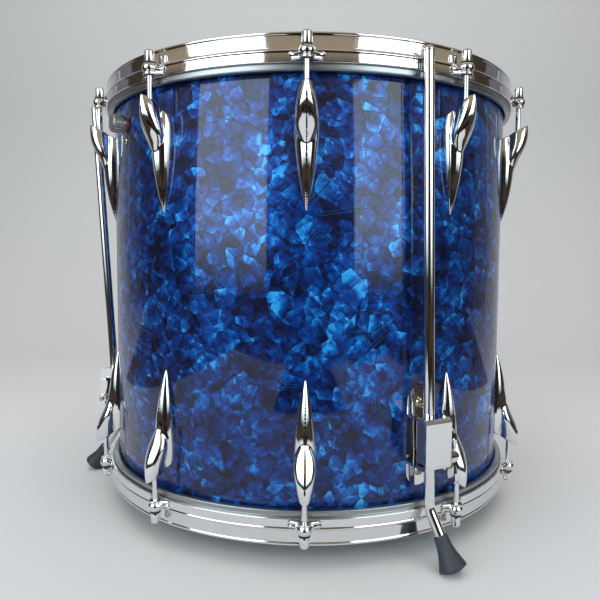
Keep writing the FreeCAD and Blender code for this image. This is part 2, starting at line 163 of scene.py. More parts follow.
def chrome(name, tint=(0.80, 0.80, 0.81), rough=0.045, specks=0.25, aged=0.0):
    """Polished plating: faint wipe marks in the roughness, tiny pits, a slow tint."""
    m = bpy.data.materials.new(name)
    nt, b = clear(m)
    v = coords(nt)
    wipe = noise(nt, coords(nt, (60, 60, 9)), 6.0, 4.0, 0.6)
    cloud = noise(nt, v, 45.0, 3.0, 0.55)
    pit = voronoi(nt, v, 900.0)
    pits = ramp(nt, pit.outputs["Distance"], [(0.0, 1.0), (0.10, 0.0), (1.0, 0.0)])
    scatter = noise(nt, v, 90.0, 2.0, 0.5)
    gate = ramp(nt, scatter.outputs[0], [(0.0, 0.0), (0.62, 0.0), (0.72, 1.0)])
    pitmask = math_node(nt, "MULTIPLY", pits.outputs[0], gate.outputs[0])
    tone = ramp(nt, cloud.outputs[0], [(0.3, tuple(c * 0.95 for c in tint)), (0.7, tint)])
    dark = (tint[0] * 0.45, tint[1] * 0.42, tint[2] * 0.38)
    col = mix(nt, math_node(nt, "MULTIPLY", pitmask, specks + aged), tone.outputs[0], dark)
    nt.links.new(col, b.inputs["Base Color"])
    b.inputs["Metallic"].default_value = 1.0
    r = ramp(nt, wipe.outputs[0], [(0.35, rough), (0.75, rough * 1.9 + 0.01)])
    rr = math_node(nt, "ADD", r.outputs[0], math_node(nt, "MULTIPLY", pitmask, 0.3))
    nt.links.new(rr, b.inputs["Roughness"])
    nt.links.new(bump(nt, noise(nt, v, 160.0, 2.0, 0.5).outputs[0], 0.05, 0.0002), b.inputs["Normal"])
    return m


def pearl():
    """Blue pearl film: crumpled leaves of pearl under a clear glossy face; fold shading, streak highlights and crease
    shade are painted into the colour.
    """
    m = bpy.data.materials.new("pearl_wrap_blue")
    nt, b = clear(m)
    v = coords(nt)

    def vmath(op, a, c, d=None):
        n = nt.nodes.new("ShaderNodeVectorMath")
        n.operation = op
        for i, val in enumerate((a, c, d)):
            if val is None:
                continue
            if isinstance(val, tuple):
                n.inputs[i].default_value = val
            else:
                nt.links.new(val, n.inputs[i])
        return n

    def warped(src, scale, amount):
        n = noise(nt, src, scale, 2.0, 0.5)
        return vmath("MULTIPLY_ADD", n.outputs["Color"], (amount, amount, amount), src).outputs[0]

    def leaves(src, scale, painted_sheen_slope, step):
        """Flat leaves, each with its own brightness and a painted straight sheen: a brightness slope across the leaf
        standing in for light on its tilt.
        """
        vo = voronoi(nt, src, scale)
        d = vmath("SUBTRACT", src, vo.outputs["Position"]).outputs[0]
        way = vmath("MULTIPLY_ADD", vo.outputs["Color"], (2.0, 2.0, 2.0), (-1.0, -1.0, -1.0)).outputs[0]
        dot = vmath("DOT_PRODUCT", d, way).outputs["Value"]
        sp = nt.nodes.new("ShaderNodeSeparateColor")
        nt.links.new(vo.outputs["Color"], sp.inputs[0])
        g = math_node(nt, "MULTIPLY", dot, scale * painted_sheen_slope)
        c = math_node(nt, "MULTIPLY", math_node(nt, "SUBTRACT", sp.outputs[2], 0.5), step)
        return math_node(nt, "ADD", g, c), sp

    def turned(src, rot, scl):
        mp = nt.nodes.new("ShaderNodeMapping")
        mp.inputs["Rotation"].default_value = rot
        mp.inputs["Scale"].default_value = scl
        nt.links.new(src, mp.inputs[0])
        return mp.outputs[0]

    w1 = warped(v, 22.0, 0.012)
    w2 = warped(w1, 60.0, 0.0035)
    la = turned(w1, (0.4, 0.3, 0.7), (1.0, 0.62, 1.0))
    lb = turned(w2, (1.1, 0.6, -0.5), (1.0, 0.48, 1.0))
    lc = turned(w2, (0.2, -0.8, 1.3), (1.0, 0.55, 1.0))
    # painted sheen: each leaf layer adds a brightness slope that stands in for light and shade on the tilted leaves
    l1, c1 = leaves(la, 36.0, 0.36, 0.18)
    l2, c2 = leaves(lb, 78.0, 0.42, 0.20)
    l3, c3 = leaves(lc, 155.0, 0.30, 0.12)
    stretch = nt.nodes.new("ShaderNodeMapping")
    stretch.inputs["Rotation"].default_value = (0.5, 0.35, 0.8)
    stretch.inputs["Scale"].default_value = (1.0, 0.30, 1.0)
    nt.links.new(w2, stretch.inputs[0])
    # painted highlight: stretched streaks of light and shade are added to the wrap colour
    painted_streak_sheen = noise(nt, stretch.outputs[0], 120.0, 4.0, 0.6, 0.5)
    tone = noise(nt, v, 13.0, 2.0, 0.5, 0.4)
    s3 = math_node(nt, "MULTIPLY", math_node(nt, "SUBTRACT", painted_streak_sheen.outputs[0], 0.5), 0.50)
    s4 = math_node(nt, "MULTIPLY", math_node(nt, "SUBTRACT", tone.outputs[0], 0.5), 0.62)
    tot = math_node(nt, "ADD", math_node(nt, "ADD", l1, l2), math_node(nt, "ADD", l3, math_node(nt, "ADD", s3, s4)))
    val = math_node(nt, "ADD", tot, 0.5, clamp=True)
    col = ramp(nt, val, [(0.0, (0.0008, 0.0034, 0.024)), (0.22, (0.0012, 0.0095, 0.070)), (0.40, (0.0015, 0.021, 0.150)),
                         (0.56, (0.0018, 0.042, 0.250)), (0.70, (0.0026, 0.090, 0.40)), (0.84, (0.006, 0.19, 0.60)),
                         (0.98, (0.03, 0.36, 0.86))])
    # creases: painted shade as a dark line with a painted highlight on its light lip, broken off along its way
    edge = voronoi(nt, turned(warped(v, 16.0, 0.014), (0.9, 0.2, 0.4), (1.0, 0.6, 1.0)), 30.0, "DISTANCE_TO_EDGE")
    edge2 = voronoi(nt, lb, 78.0, "DISTANCE_TO_EDGE")
    gate = ramp(nt, noise(nt, v, 34.0, 2.0, 0.6).outputs[0], [(0.50, 0.0), (0.58, 1.0)])
    gate2 = ramp(nt, noise(nt, v, 52.0, 2.0, 0.6).outputs[0], [(0.47, 0.0), (0.56, 1.0)])
    painted_crease_shade = ramp(nt, edge.outputs["Distance"], [(0.0, 1.0), (0.010, 1.0), (0.022, 0.0)])
    painted_lip_highlight = ramp(nt, edge.outputs["Distance"], [(0.012, 0.0), (0.028, 1.0), (0.050, 0.0)])
    crease_shade_and_groove_2 = ramp(nt, edge2.outputs["Distance"], [(0.0, 1.0), (0.018, 0.9), (0.045, 0.0)])
    # painted shade: dark crease lines along the leaf edges darken the colour; the same lines also dip the bump below
    c = mix(nt, math_node(nt, "MULTIPLY", math_node(nt, "MULTIPLY", crease_shade_and_groove_2.outputs[0], gate2.outputs[0]), 0.7), col.outputs[0], (0.0008, 0.003, 0.02))
    c = mix(nt, math_node(nt, "MULTIPLY", math_node(nt, "MULTIPLY", painted_lip_highlight.outputs[0], gate.outputs[0]), 0.16), c, (0.02, 0.24, 0.66))
    c = mix(nt, math_node(nt, "MULTIPLY", math_node(nt, "MULTIPLY", painted_crease_shade.outputs[0], gate.outputs[0]), 0.50), c, (0.0008, 0.003, 0.018))
    nt.links.new(c, b.inputs["Base Color"])
    b.inputs["Metallic"].default_value = 0.45
    b.inputs["Roughness"].default_value = 0.40
    b.inputs["Specular IOR Level"].default_value = 0.2
    hgt = math_node(nt, "SUBTRACT", val, math_node(nt, "MULTIPLY", crease_shade_and_groove_2.outputs[0], 0.3))
    nt.links.new(bump(nt, hgt, 0.5, 0.002), b.inputs["Normal"])
    b.inputs["Coat Weight"].default_value = 0.66
    b.inputs["Coat Roughness"].default_value = 0.05
    b.inputs["Coat IOR"].default_value = 1.56
    wav = noise(nt, v, 7.0, 2.0, 0.5)
    nt.links.new(bump(nt, wav.outputs[0], 0.10, 0.004), b.inputs["Coat Normal"])
    return m


def rubber():
    m = bpy.data.materials.new("rubber_foot")
    nt, b = clear(m)
    v = coords(nt)
    n1 = noise(nt, v, 60.0, 4.0, 0.6)
    n2 = noise(nt, v, 900.0, 3.0, 0.7)
    c = ramp(nt, n1.outputs[0], [(0.3, (0.018, 0.023, 0.032)), (0.6, (0.027, 0.034, 0.046)), (0.85, (0.05, 0.055, 0.062))])
    nt.links.new(c.outputs[0], b.inputs["Base Color"])
    r = ramp(nt, n1.outputs[0], [(0.2, 0.42), (0.8, 0.62)])
    nt.links.new(r.outputs[0], b.inputs["Roughness"])
    nt.links.new(bump(nt, n2.outputs[0], 0.25, 0.0003), b.inputs["Normal"])
    return m


def satin(name, col, rough, metal, scale=(400, 400, 12), spread=0.12, bumpy=0.06):
    m = bpy.data.materials.new(name)
    nt, b = clear(m)
    n = noise(nt, coords(nt, scale), 3.0, 4.0, 0.6)
    g = noise(nt, coords(nt), 30.0, 3.0, 0.5)
    c = ramp(nt, n.outputs[0], [(0.3, tuple(k * (1 - spread) for k in col)), (0.7, tuple(min(1, k * (1 + spread)) for k in col))])
    cc = mix(nt, math_node(nt, "MULTIPLY", g.outputs[0], 0.25), c.outputs[0], tuple(k * 0.75 for k in col))
    nt.links.new(cc, b.inputs["Base Color"])
    b.inputs["Metallic"].default_value = metal
    r = ramp(nt, n.outputs[0], [(0.2, rough * 0.8), (0.8, min(1, rough * 1.25))])
    nt.links.new(r.outputs[0], b.inputs["Roughness"])
    nt.links.new(bump(nt, n.outputs[0], bumpy, 0.0003), b.inputs["Normal"])
    return m


def wood():
    m = bpy.data.materials.new("shell_wood")
    nt, b = clear(m)
    g = noise(nt, coords(nt, (14, 14, 160)), 2.0, 6.0, 0.65, 0.6)
    c = ramp(nt, g.outputs[0], [(0.25, (0.30, 0.17, 0.08)), (0.5, (0.46, 0.29, 0.15)), (0.75, (0.56, 0.38, 0.21))])
    nt.links.new(c.outputs[0], b.inputs["Base Color"])
    r = ramp(nt, g.outputs[0], [(0.2, 0.42), (0.8, 0.6)])
    nt.links.new(r.outputs[0], b.inputs["Roughness"])
    nt.links.new(bump(nt, g.outputs[0], 0.2, 0.0005), b.inputs["Normal"])
    return m


def coated(name, col, grain, wear):
    m = bpy.data.materials.new(name)
    nt, b = clear(m)
    v = coords(nt)
    n1 = noise(nt, v, 18.0, 5.0, 0.6)
    n2 = noise(nt, v, grain, 3.0, 0.7)
    sc = noise(nt, coords(nt, (30, 260, 30)), 4.0, 4.0, 0.7)
    c = ramp(nt, n1.outputs[0], [(0.3, tuple(k * (1 - wear) for k in col)), (0.65, col)])
    cc = mix(nt, math_node(nt, "MULTIPLY", ramp(nt, sc.outputs[0], [(0.66, 0.0), (0.74, 1.0)]).outputs[0], wear * 1.5), c.outputs[0], tuple(k * 0.6 for k in col))
    nt.links.new(cc, b.inputs["Base Color"])
    r = ramp(nt, n2.outputs[0], [(0.2, 0.5), (0.8, 0.78)])
    nt.links.new(r.outputs[0], b.inputs["Roughness"])
    nt.links.new(bump(nt, n2.outputs[0], 0.3, 0.0002), b.inputs["Normal"])
    return m


M = {
    "chrome": chrome("chrome_cast_bright"),
    "chrome_leg": chrome("chrome_leg_bright", (0.78, 0.78, 0.79), 0.05, 0.5, 0.2),
    "pearl": pearl(),
    "rubber": rubber(),
    "flesh": satin("flesh_hoop_aluminium_satin", (0.36, 0.38, 0.40), 0.34, 1.0),
    "zinc": satin("zinc_plate", (0.46, 0.46, 0.45), 0.35, 1.0, (300, 300, 300)),
    "brass": satin("brass_swivel_nut", (0.62, 0.45, 0.2), 0.3, 1.0, (300, 300, 300)),
    "wood": wood(),
    "batter": coated("head_coated", (0.72, 0.71, 0.67), 420.0, 0.10),
    "reso": coated("head_lower_film", (0.62, 0.62, 0.61), 160.0, 0.06),
    "felt": coated("felt_pad", (0.55, 0.53, 0.47), 900.0, 0.15),
    "fibre": coated("red_fibre_washer", (0.34, 0.035, 0.02), 700.0, 0.15),
    "washer": satin("washer_dark_steel", (0.16, 0.15, 0.14), 0.3, 1.0, (300, 300, 300)),
    "screwhead": satin("aged_nickel_screw", (0.50, 0.44, 0.33), 0.22, 1.0, (200, 200, 200), 0.2),
}


def paint(obj, mat, smooth=None):
    obj.data.materials.clear()
    obj.data.materials.append(mat)
    if smooth is not None:
        for p in obj.data.polygons:
            p.use_smooth = True
        m = obj.modifiers.new("edges", "EDGE_SPLIT")
        m.split_angle = math.radians(smooth)


# ---------------------------------------------------------------- mesh tools
def mesh_obj(name, bm, mat, body, nodes=(), angle=35.0):
    bmesh.ops.remove_doubles(bm, verts=bm.verts, dist=1e-7)
    bmesh.ops.recalc_face_normals(bm, faces=bm.faces)
    me = bpy.data.meshes.new(name)
    bm.to_mesh(me)
    bm.free()
    ob = bpy.data.objects.new(name, me)
    scene.collection.objects.link(ob)
    me.materials.append(mat)
    shade(ob, angle)
    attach(ob, body)
    if nodes:
        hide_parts(*nodes)
    return ob


def shade(ob, angle):
    me = ob.data
    for p in me.polygons:
        p.use_smooth = True
    bm = bmesh.new()
    bm.from_mesh(me)
    lim = math.radians(angle)
    for e in bm.edges:
        e.smooth = not (len(e.link_faces) == 2 and e.calc_face_angle(0.0) > lim)
    bm.to_mesh(me)
    bm.free()


def smooth_profile(points, radius=0.5, steps=4):
    """Round each corner of a closed outline of (r, z), in mm."""
    out = []
    n = len(points)
    for i in range(n):
        p, a, c = (Vector(points[i]), Vector(points[i - 1]), Vector(points[(i + 1) % n]))
        da, dc = (a - p), (c - p)
        if da.length < 1e-6 or dc.length < 1e-6:
            out.append(tuple(p))
            continue
        rad = radius
        if len(points[i]) > 2:
            rad = points[i][2]
            p, = (Vector(points[i][:2]),)
        cut = min(rad, da.length * 0.45, dc.length * 0.45)
        q0, q1 = p + da.normalized() * cut, p + dc.normalized() * cut
        for k in range(steps + 1):
            t = k / steps
            out.append(tuple(q0.lerp(p, t).lerp(p.lerp(q1, t), t)))
    return out


def lathe(bm, profile, segs, closed=True, matrix=Matrix()):
    """Revolve (r, z) mm about Z into bm; points at r = 0 become poles."""
    rings = []
    for r, z in profile:
        if r < 1e-6:
            rings.append([bm.verts.new(matrix @ Vector((0, 0, z * MM)))])
        else:
            rings.append([bm.verts.new(matrix @ Vector((r * MM * math.cos(2 * math.pi * k / segs), r * MM * math.sin(2 * math.pi * k / segs), z * MM))) for k in range(segs)])
    n = len(rings)
    for i in range(n if closed else n - 1):
        a, b = rings[i], rings[(i + 1) % n]
        for k in range(segs):
            l = (k + 1) % segs
            if len(a) == 1 and len(b) == 1:
                continue
            if len(a) == 1:
                bm.faces.new((a[0], b[l], b[k]))
            elif len(b) == 1:
                bm.faces.new((a[k], a[l], b[0]))
            else:
                bm.faces.new((a[k], a[l], b[l], b[k]))
    return bm


def frame_at(th, x=0.0, y=0.0, s=0.0, flip=False):
    """Matrix from a local frame (X radial, Y tangential, Z up), metres."""
    z = Vector((0, 0, -1.0 if flip else 1.0))
    m = Matrix((er(th), et(th), z)).transposed().to_4x4()
    m.translation = local(th, x, y, s)
    return m


def tube(bm, path, radius, segs=32, caps=True):
    """Sweep a circle (mm) along points (mm) with parallel transport."""
    pts = [Vector(p) for p in path]
    tang = [((pts[min(i + 1, len(pts) - 1)] - pts[max(i - 1, 0)]).normalized()) for i in range(len(pts))]
    ref = tang[0].orthogonal().normalized()
    rings = []
    for i, p in enumerate(pts):
        ref = (ref - tang[i] * ref.dot(tang[i])).normalized()
        oth = tang[i].cross(ref)
        rr = radius[i] if isinstance(radius, (list, tuple)) else radius
        rings.append([bm.verts.new((p + ref * rr * math.cos(2 * math.pi * k / segs) + oth * rr * math.sin(2 * math.pi * k / segs)) * MM) for k in range(segs)])
    for a, b in zip(rings, rings[1:]):
        for k in range(segs):
            l = (k + 1) % segs
            bm.faces.new((a[k], a[l], b[l], b[k]))
    if caps:
        bm.faces.new(rings[0][::-1])
        bm.faces.new(rings[-1])


def catmull(keys, n):
    """Smooth curve through keyed tuples: first value is the parameter."""
    out = []
    ks = sorted(keys)
    lo, hi = ks[0][0], ks[-1][0]
    for j in range(n + 1):
        t = lo + (hi - lo) * j / n
        i = 0
        while i < len(ks) - 2 and t > ks[i + 1][0]:
            i += 1
        p0, p1, p2, p3 = ks[max(i - 1, 0)], ks[i], ks[i + 1], ks[min(i + 2, len(ks) - 1)]
        u = (t - p1[0]) / (p2[0] - p1[0])
        row = [t]
        for c in range(1, len(p1)):
            m1 = (p2[c] - p0[c]) / max(p2[0] - p0[0], 1e-9) * (p2[0] - p1[0])
            m2 = (p3[c] - p1[c]) / max(p3[0] - p1[0], 1e-9) * (p2[0] - p1[0])
            row.append((2 * u ** 3 - 3 * u ** 2 + 1) * p1[c] + (u ** 3 - 2 * u ** 2 + u) * m1 + (-2 * u ** 3 + 3 * u ** 2) * p2[c] + (u ** 3 - u ** 2) * m2)
        out.append(tuple(row))
    return out


def skin(bm, rings):
    rs = [[bm.verts.new(Vector(p) * MM) for p in ring] for ring in rings]
    n = len(rs[0])
    for a, b in zip(rs, rs[1:]):
        for k in range(n):
            l = (k + 1) % n
            bm.faces.new((a[k], a[l], b[l], b[k]))
    bm.faces.new(rs[0][::-1])
    bm.faces.new(rs[-1])


def plain(name, bm):
    me = bpy.data.meshes.new(name)
    bmesh.ops.recalc_face_normals(bm, faces=bm.faces)
    bm.to_mesh(me)
    bm.free()
    ob = bpy.data.objects.new(name, me)
    scene.collection.objects.link(ob)
    return ob


def apply_all(ob):
    dg = bpy.context.evaluated_depsgraph_get()
    me = bpy.data.meshes.new_from_object(ob.evaluated_get(dg))
    ob.modifiers.clear()
    ob.data = me
    return ob


def drop_obj(ob):
    bpy.data.objects.remove(ob, do_unlink=True)


def boolean(ob, other, op):
    m = ob.modifiers.new("b", "BOOLEAN")
    m.object = other
    m.operation = op
    m.solver = "EXACT"
    apply_all(ob)
    drop_obj(other)


# ---------------------------------------------------------------- wrap
bm = bmesh.new()
lathe(bm, smooth_profile([(228.62, -196.5), (WRAP_R, -196.5), (WRAP_R, 196.5), (228.62, 196.5)], 0.15, 2), 360, True, Matrix.Translation((0, 0, MID * MM)))
wrap = mesh_obj("pearl_covering", bm, M["pearl"], "shell", ("wrap",), 40)

# ---------------------------------------------------------------- hoops
ring_prof = [(231.2, 200.5), (236.4, 200.5), (236.4, 197.5), (239.1, 197.5), (239.1, 205.6), (239.75, 206.9), (239.1, 208.5), (236.2, 209.7),
             (236.0, 210.6), (236.0, 220.6), (236.7, 221.7), (236.7, 223.5), (231.2, 223.5)]
radii = {3: 1.0, 4: 0.5, 5: 0.6, 6: 0.7, 7: 0.5, 8: 0.5, 9: 0.5, 10: 0.5, 11: 1.0, 12: 1.6}


def rounded(points, radii, default=0.4, steps=5):
    out = []
    n = len(points)
    for i in range(n):
        p, a, c = Vector(points[i]), Vector(points[i - 1]), Vector(points[(i + 1) % n])
        da, dc = a - p, c - p
        cut = min(radii.get(i, default), da.length * 0.48, dc.length * 0.48)
        q0, q1 = p + da.normalized() * cut, p + dc.normalized() * cut
        for k in range(steps + 1):
            t = k / steps
            out.append(tuple(q0.lerp(p, t).lerp(p.lerp(q1, t), t)))
    return out


def ear_mesh():
    """Cast ear: round seat under the rod head, two arms flaring to the ring, thin floor between."""
    parts = bmesh.new()
    seat = [(0.0, 198.6), (5.3, 198.6), (5.9, 199.0), (5.9, 199.9), (5.2, 200.6), (6.0, 201.6), (6.8, 203.2), (7.1, 204.9), (6.8, 206.7), (5.9, 208.4), (4.7, 209.4), (4.3, 209.9), (0.0, 209.9)]
    lathe(parts, seat, 40, False, Matrix.Translation((ROD_R * MM, 0, 0)))
    for sg in (-1, 1):
        path = [(ROD_R - 0.8, sg * 3.2, 204.0), (242.0, sg * 6.6, 203.0), (239.8, sg * 10.0, 203.2), (238.2, sg * 12.6, 203.9), (236.9, sg * 14.0, 204.1)]
        tube(parts, path, [3.0, 2.5, 2.3, 2.6, 2.4], 20)
        path = [(ROD_R - 1.5, sg * 2.5, 200.6), (241.4, sg * 7.0, 200.2), (238.6, sg * 12.0, 200.4), (236.9, sg * 14.2, 200.6)]
        tube(parts, path, [2.4, 1.9, 2.0, 2.0], 20)
    floor_ = [(236.8, -12.5), (239.0, -11.6), (241.5, -7.6), (244.5, -4.2), (244.5, 4.2), (241.5, 7.6), (239.0, 11.6), (236.8, 12.5)]
    skin(parts, [[(x, y, z) for x, y in floor_] for z in (199.0, 201.6, 204.4)])
    ob = plain("ear", parts)
    m = ob.modifiers.new("vox", "REMESH")
    m.mode = "VOXEL"
    m.voxel_size = 0.00042
    m = ob.modifiers.new("sm", "SMOOTH")
    m.factor = 0.5
    m.iterations = 3
    m = ob.modifiers.new("dec", "DECIMATE")
    m.ratio = 0.35
    apply_all(ob)
    me = ob.data
    drop_obj(ob)
    return me


ear_me = ear_mesh()


def make_hoop(name, flip, node):
    bm = bmesh.new()
    lathe(bm, rounded(ring_prof, radii), 360, True)
    if flip:
        bmesh.ops.transform(bm, matrix=Matrix.Diagonal((1, 1, -1, 1)), verts=bm.verts)
        bmesh.ops.reverse_faces(bm, faces=bm.faces)
    bmesh.ops.transform(bm, matrix=Matrix.Translation((0, 0, MID * MM)), verts=bm.verts)
    mesh_obj(name, bm, M["chrome"], "shell", (node,), 32)
    for k in range(10):
        me = ear_me.copy()
        if flip:
            me.transform(Matrix.Diagonal((1, 1, -1, 1)))
            me.flip_normals()
        me.transform(Matrix.Translation((0, 0, MID * MM)) @ Matrix.Rotation(math.radians(36.0 * k - 90.0), 4, "Z"))
        ob = bpy.data.objects.new("%s_ear_%d" % (name, k), me)
        scene.collection.objects.link(ob)
        me.materials.append(M["chrome"])
        for p in me.polygons:
            p.use_smooth = True
        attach(ob, "shell")
        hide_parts(node)


make_hoop("hoop_upper", False, "hoop_top")
make_hoop("hoop_lower", True, "hoop_bottom")

# flesh hoops
for name, flip, nd in (("flesh_ring_upper", False, "flesh_hoop_top"), ("flesh_ring_lower", True, "flesh_hoop_bottom")):
    bm = bmesh.new()
    prof = rounded([(230.7, 191.7), (236.1, 191.7), (236.1, 200.5), (230.7, 200.5)], {1: 1.6, 0: 0.6}, 0.3, 5)
    if flip:
        prof = [(r, -z) for r, z in prof][::-1]
    lathe(bm, prof, 300, True, Matrix.Translation((0, 0, MID * MM)))
    mesh_obj(name, bm, M["flesh"], "shell", (nd,), 35)

# ---------------------------------------------------------------- lugs
drop_keys = [(74.2, 0.4, 0.4), (77.0, 1.4, 1.6), (82.0, 2.6, 3.2), (92.0, 4.7, 6.0), (104.0, 7.0, 8.7), (118.0, 9.0, 11.0),
             (130.0, 10.2, 12.2), (140.0, 10.8, 12.6), (148.0, 10.8, 11.8), (155.0, 10.4, 10.4), (161.0, 9.6, 9.2), (168.0, 8.3, 8.6), (176.0, 6.8, 8.2)]
beak_keys = [(128.0, 2.6, 6.0, 11.4), (134.0, 5.6, 4.4, 13.6), (141.0, 8.8, 4.0, 16.2), (148.0, 10.2, 4.6, 19.6), (155.0, 10.0, 5.4, 22.6),
             (162.0, 9.1, 5.8, 24.9), (170.0, 7.8, 5.8, 26.0), (176.0, 6.2, 5.8, 26.0), (183.0, 3.6, 6.4, 25.4)]


def lug_mesh():
    bm = bmesh.new()
    rings = []
    for s, w, h in catmull(drop_keys, 46):
        ring = []
        for i in range(33):
            a = math.pi * i / 32 - math.pi / 2
            # pointed arch: a soft ridge down the middle
            y = w * math.sin(a)
            c = abs(math.cos(a))
            o = h * (0.80 * c ** 0.75 + 0.20 * max(0.0, 1 - abs(y) / max(w, 1e-6)))
            ring.append((WRAP_R + o, y, s))
        ring += [(WRAP_R - 2.2, w, s), (WRAP_R - 2.2, -w, s)]
        rings.append(ring)
    skin(bm, rings)
    drop = plain("lug_drop", bm)
    bm = bmesh.new()
    rings = []
    for s, hw, o0, o1 in catmull(beak_keys, 40):
        ring = []
        cx, rx = (o0 + o1) / 2, (o1 - o0) / 2
        for i in range(40):
            a = 2 * math.pi * i / 40
            c, d = math.cos(a), math.sin(a)
            x = cx + rx * math.copysign(abs(c) ** 0.9, c)
            y = hw * math.copysign(abs(d) ** 0.85, d)
            if c > 0:
                x += 0.9 * max(0.0, 1 - abs(y) / (hw * 0.5)) * min(1.0, rx / 6.0) - 0.5
            ring.append((WRAP_R + x, y, s))
        rings.append(ring)
    skin(bm, rings)
    beak = plain("lug_beak", bm)
    boolean(drop, beak, "UNION")
    # slanted mouth from the outer tip down to the shell, dished around the rod
    bm = bmesh.new()
    low, high = 166.6, 180.2
    corners = []
    for y in (-20.0, 20.0):
        corners.append([(WRAP_R - 8.0, y, low - 5.6), (WRAP_R + 34.0, y, high + 4.9), (WRAP_R + 34.0, y, 210.0), (WRAP_R - 8.0, y, 210.0)])
    skin(bm, corners)
    top_cut = plain("lug_top_cut", bm)
    boolean(drop, top_cut, "DIFFERENCE")
    bm = bmesh.new()
    rings = []
    for s_, hw, o0, o1 in catmull([(163.0, 2.9, 11.5, 18.8), (168.0, 4.0, 8.8, 20.4), (174.0, 5.2, 6.0, 22.6), (182.5, 6.0, 2.6, 24.6)], 14):
        cx, rx = (o0 + o1) / 2, (o1 - o0) / 2
        rings.append([(WRAP_R + cx + rx * math.cos(2 * math.pi * i / 32), hw * math.sin(2 * math.pi * i / 32), s_) for i in range(32)])
    skin(bm, rings)
    scoop = plain("lug_scoop", bm)
    boolean(drop, scoop, "DIFFERENCE")
    m = drop.modifiers.new("vox", "REMESH")
    m.mode = "VOXEL"
    m.voxel_size = 0.00062
    m.adaptivity = 0.0
    m = drop.modifiers.new("sm", "SMOOTH")
    m.factor = 0.5
    m.iterations = 9
    apply_all(drop)
    # trim to the covering
    bm = bmesh.new()
    lathe(bm, [(WRAP_R - 30, 50), (WRAP_R + 0.03, 50), (WRAP_R + 0.03, 200), (WRAP_R - 30, 200)], 720)
    cutter = plain("lug_trim", bm)
    boolean(drop, cutter, "DIFFERENCE")
    me = drop.data
    drop_obj(drop)
    return me


lug_me = lug_mesh()
for k in range(10):
    for top in (True, False):
        mat4 = Matrix.Rotation(math.radians(36.0 * k - 90.0), 4, "Z")
        me = lug_me.copy()
        if not top:
            me.transform(Matrix.Diagonal((1, 1, -1, 1)))
            me.flip_normals()
        me.transform(Matrix.Translation((0, 0, MID * MM)) @ mat4)
        ob = bpy.data.objects.new("lug_%s_%d" % ("upper" if top else "lower", k), me)
        scene.collection.objects.link(ob)
        me.materials.append(M["chrome"])
        for p in me.polygons:
            p.use_smooth = True
        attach(ob, "shell")
        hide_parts("lugs_top" if top else "lugs_bottom")

# ---------------------------------------------------------------- tension rods
head_prof = [(0.0, 152.0), (1.9, 152.0), (2.5, 152.8), (2.5, 210.7), (4.3, 210.7), (4.45, 211.0), (4.45, 219.3), (4.32, 219.9), (3.95, 220.6), (3.3, 221.2), (2.3, 221.6), (1.1, 221.7), (0.0, 221.72)]
for k in range(10):
    for top in (True, False):
        sg = 1 if top else -1
        m4 = frame_at(36.0 * k, ROD_R, 0, 0, not top)
        bm = bmesh.new()
        lathe(bm, head_prof, 40, False, m4)
        body = "tension_rod_%s_%d" % ("top" if top else "bottom", k)
        ob = mesh_obj("rod_%s_%d_bright" % ("upper" if top else "lower", k), bm, M["chrome"], body, ("rod_%s_%d" % ("top" if top else "bottom", k),), 40)
        # screwdriver slot
        c = bmesh.new()
        bmesh.ops.create_cube(c, size=1.0, matrix=m4 @ Matrix.Translation((0, 0, 221.2 * MM)) @ Matrix.Diagonal((1.5 * MM, 12 * MM, 3.0 * MM, 1)))
        cut = plain("slotcut", c)
        boolean(ob, cut, "DIFFERENCE")
        shade(ob, 35)
        ob.data.materials.clear()
        ob.data.materials.append(M["chrome"])

